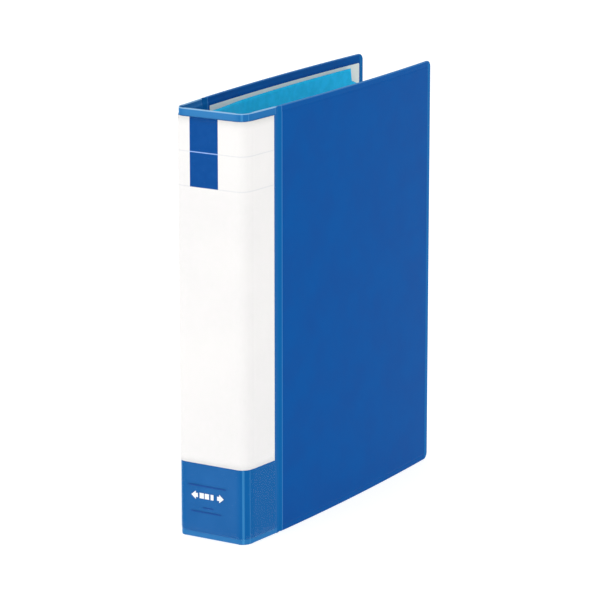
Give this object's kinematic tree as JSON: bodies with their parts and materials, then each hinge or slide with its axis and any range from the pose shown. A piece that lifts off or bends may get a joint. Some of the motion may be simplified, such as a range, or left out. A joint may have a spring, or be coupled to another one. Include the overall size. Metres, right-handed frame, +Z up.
{
  "type": "two-way pipe file",
  "caption": "Upright document file with hinged board covers on side strips, a rounded spine with a label pocket, and two binding pipes held by a sliding lock on either side.",
  "frame": {"origin": "centre of the closed file's footprint, on the surface it stands on", "axes": "+Z up, -Y out of the spine, +X out of the front cover"},
  "size_m": [0.0673, 0.257, 0.307],
  "materials": {
    "blue_sheet": "glossy blue film",
    "board": "grey board",
    "blue_lining": "blue film",
    "liner_paper": "pale paper",
    "label_paper": "white paper",
    "clear_film": "clear film",
    "pipe_metal": "bright",
    "tip_metal": "turned",
    "lock_steel": "pressed and plated",
    "rivet_metal": "satin",
    "lever_plastic": "moulded",
    "divider_plastic": "thin sheet"
  },
  "bodies": {
    "spine": {"spine_skin": "blue_sheet", "spine_board": "board", "spine_lining": "blue_lining", "spine_label": "label_paper", "spine_pocket_film": "clear_film", "upper_pipe": "pipe_metal", "lower_pipe": "pipe_metal", "upper_front_tip": "tip_metal", "upper_rear_tip": "tip_metal", "lower_front_tip": "tip_metal", "lower_rear_tip": "tip_metal"},
    "divider": {"divider": "divider_plastic"},
    "front_strip": {"front_strip_skin": "blue_sheet", "front_strip_board": "board", "front_strip_lining": "blue_lining", "front_strip_label": "label_paper", "front_strip_pocket_film": "clear_film", "front_lock_base": "lock_steel", "front_upper_rivet": "rivet_metal", "front_lower_rivet": "rivet_metal", "front_lever_pin": "rivet_metal"},
    "front_cover": {"front_cover_skin": "blue_sheet", "front_cover_board": "board", "front_cover_lining": "blue_lining", "front_cover_liner": "liner_paper"},
    "front_lock_lever": {"front_lock_lever": "lever_plastic"},
    "front_lock_plate": {"front_lock_plate": "lock_steel"},
    "rear_strip": {"rear_strip_skin": "blue_sheet", "rear_strip_board": "board", "rear_strip_lining": "blue_lining", "rear_strip_label": "label_paper", "rear_strip_pocket_film": "clear_film", "rear_lock_base": "lock_steel", "rear_upper_rivet": "rivet_metal", "rear_lower_rivet": "rivet_metal", "rear_lever_pin": "rivet_metal"},
    "rear_cover": {"rear_cover_skin": "blue_sheet", "rear_cover_board": "board", "rear_cover_lining": "blue_lining", "rear_cover_liner": "liner_paper"},
    "rear_lock_lever": {"rear_lock_lever": "lever_plastic"},
    "rear_lock_plate": {"rear_lock_plate": "lock_steel"}
  },
  "joints": [
    {"name": "front_strip_hinge", "type": "hinge", "parent": "spine", "child": "front_strip", "pos_m": [0.02695, -0.1262, 0.1535], "axis": [0, 0, -1], "range_deg": [0, 86]},
    {"name": "front_cover_hinge", "type": "hinge", "parent": "front_strip", "child": "front_cover", "pos_m": [0.03122, -0.088, 0.1535], "axis": [0, 0, -1], "range_deg": [0, 105]},
    {"name": "front_lock_lever_hinge", "type": "hinge", "parent": "front_strip", "child": "front_lock_lever", "pos_m": [0.02848, -0.10425, 0.1535], "axis": [0.9976, -0.0698, 0], "range_deg": [0, 46.3]},
    {"name": "front_lock_plate_slide", "type": "slide", "parent": "front_strip", "child": "front_lock_plate", "axis": [0, 0, 1], "range_m": [0, 0.006]},
    {"name": "rear_strip_hinge", "type": "hinge", "parent": "spine", "child": "rear_strip", "pos_m": [-0.02695, -0.1262, 0.1535], "axis": [0, 0, 1], "range_deg": [0, 86]},
    {"name": "rear_cover_hinge", "type": "hinge", "parent": "rear_strip", "child": "rear_cover", "pos_m": [-0.03122, -0.088, 0.1535], "axis": [0, 0, 1], "range_deg": [0, 105]},
    {"name": "rear_lock_lever_hinge", "type": "hinge", "parent": "rear_strip", "child": "rear_lock_lever", "pos_m": [-0.02848, -0.10425, 0.1535], "axis": [0.9976, 0.0698, 0], "range_deg": [0, 46.3]},
    {"name": "rear_lock_plate_slide", "type": "slide", "parent": "rear_strip", "child": "rear_lock_plate", "axis": [0, 0, 1], "range_m": [0, 0.006]},
    {"name": "divider_slide", "type": "slide", "parent": "spine", "child": "divider", "axis": [1, 0, 0], "range_m": [0, 0.0418]}
  ],
  "couplings": [
    {"joint": "front_lock_plate_slide", "follows": "front_lock_lever_hinge", "m_per_rad": 0.007409},
    {"joint": "rear_lock_plate_slide", "follows": "rear_lock_lever_hinge", "m_per_rad": 0.007409}
  ]
}
